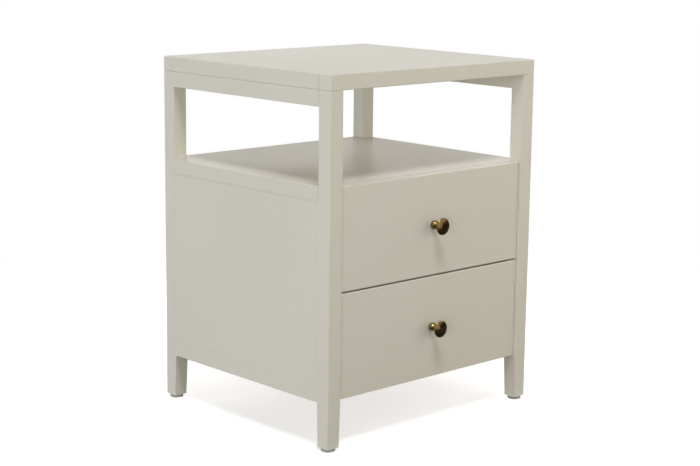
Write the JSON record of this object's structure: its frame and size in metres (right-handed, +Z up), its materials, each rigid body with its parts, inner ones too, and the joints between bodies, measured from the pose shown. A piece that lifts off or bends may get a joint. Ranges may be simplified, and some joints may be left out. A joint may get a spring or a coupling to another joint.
{
  "type": "nightstand with drawers",
  "caption": "Painted square-leg nightstand with an open shelf under the top and inset drawers on telescopic slides, with round brass knobs.",
  "frame": {"origin": "on the floor, under the middle of the bounding box with the knobs", "axes": "+Z up, front of the drawers towards -Y, +X to the right seen from the front"},
  "size_m": [0.508, 0.48, 0.648],
  "materials": {
    "painted_wood": "off-white satin paint",
    "drawer_wood": "clear lacquered solid wood",
    "plywood": "thin plywood",
    "zinc_steel": "zinc plated sheet",
    "antique_brass": "antique brass",
    "glide_plastic": "grey plastic"
  },
  "bodies": {
    "case": {"front_left_leg": "painted_wood", "front_right_leg": "painted_wood", "back_left_leg": "painted_wood", "back_right_leg": "painted_wood", "leg_glides": "glide_plastic", "top_panel": "painted_wood", "top_front_rail": "painted_wood", "top_back_rail": "painted_wood", "top_left_rail": "painted_wood", "top_right_rail": "painted_wood", "left_apron": "painted_wood", "right_apron": "painted_wood", "back_apron": "painted_wood", "shelf_panel": "painted_wood", "left_shelf_rail": "painted_wood", "right_shelf_rail": "painted_wood", "back_shelf_rail": "painted_wood", "left_side_panel": "painted_wood", "right_side_panel": "painted_wood", "left_bottom_rail": "painted_wood", "right_bottom_rail": "painted_wood", "back_bottom_rail": "painted_wood", "front_stretcher": "drawer_wood", "back_panel": "painted_wood", "upper_left_batten": "drawer_wood", "upper_left_slide_case_member": "zinc_steel", "upper_right_batten": "drawer_wood", "upper_right_slide_case_member": "zinc_steel", "lower_left_batten": "drawer_wood", "lower_left_slide_case_member": "zinc_steel", "lower_right_batten": "drawer_wood", "lower_right_slide_case_member": "zinc_steel"},
    "upper_drawer": {"upper_drawer_front": "painted_wood", "upper_box_front": "drawer_wood", "upper_box_back": "drawer_wood", "upper_box_left_side": "drawer_wood", "upper_box_right_side": "drawer_wood", "upper_box_bottom": "plywood", "upper_knob": "antique_brass", "upper_knob_screw": "zinc_steel", "upper_left_slide_drawer_member": "zinc_steel", "upper_right_slide_drawer_member": "zinc_steel"},
    "upper_slide_middle": {"upper_left_slide_middle_member": "zinc_steel", "upper_right_slide_middle_member": "zinc_steel", "upper_slide_ball_cages": "zinc_steel"},
    "lower_drawer": {"lower_drawer_front": "painted_wood", "lower_box_front": "drawer_wood", "lower_box_back": "drawer_wood", "lower_box_left_side": "drawer_wood", "lower_box_right_side": "drawer_wood", "lower_box_bottom": "plywood", "lower_knob": "antique_brass", "lower_knob_screw": "zinc_steel", "lower_left_slide_drawer_member": "zinc_steel", "lower_right_slide_drawer_member": "zinc_steel"},
    "lower_slide_middle": {"lower_left_slide_middle_member": "zinc_steel", "lower_right_slide_middle_member": "zinc_steel", "lower_slide_ball_cages": "zinc_steel"}
  },
  "joints": [
    {"name": "upper_drawer_slide", "type": "slide", "parent": "case", "child": "upper_drawer", "axis": [0, -1, 0], "range_m": [0, 0.38]},
    {"name": "upper_slide_middle_travel", "type": "slide", "parent": "case", "child": "upper_slide_middle", "axis": [0, -1, 0], "range_m": [0, 0.19]},
    {"name": "lower_drawer_slide", "type": "slide", "parent": "case", "child": "lower_drawer", "axis": [0, -1, 0], "range_m": [0, 0.38]},
    {"name": "lower_slide_middle_travel", "type": "slide", "parent": "case", "child": "lower_slide_middle", "axis": [0, -1, 0], "range_m": [0, 0.19]}
  ],
  "couplings": [
    {"joint": "upper_slide_middle_travel", "follows": "upper_drawer_slide", "ratio": 0.5},
    {"joint": "lower_slide_middle_travel", "follows": "lower_drawer_slide", "ratio": 0.5}
  ]
}
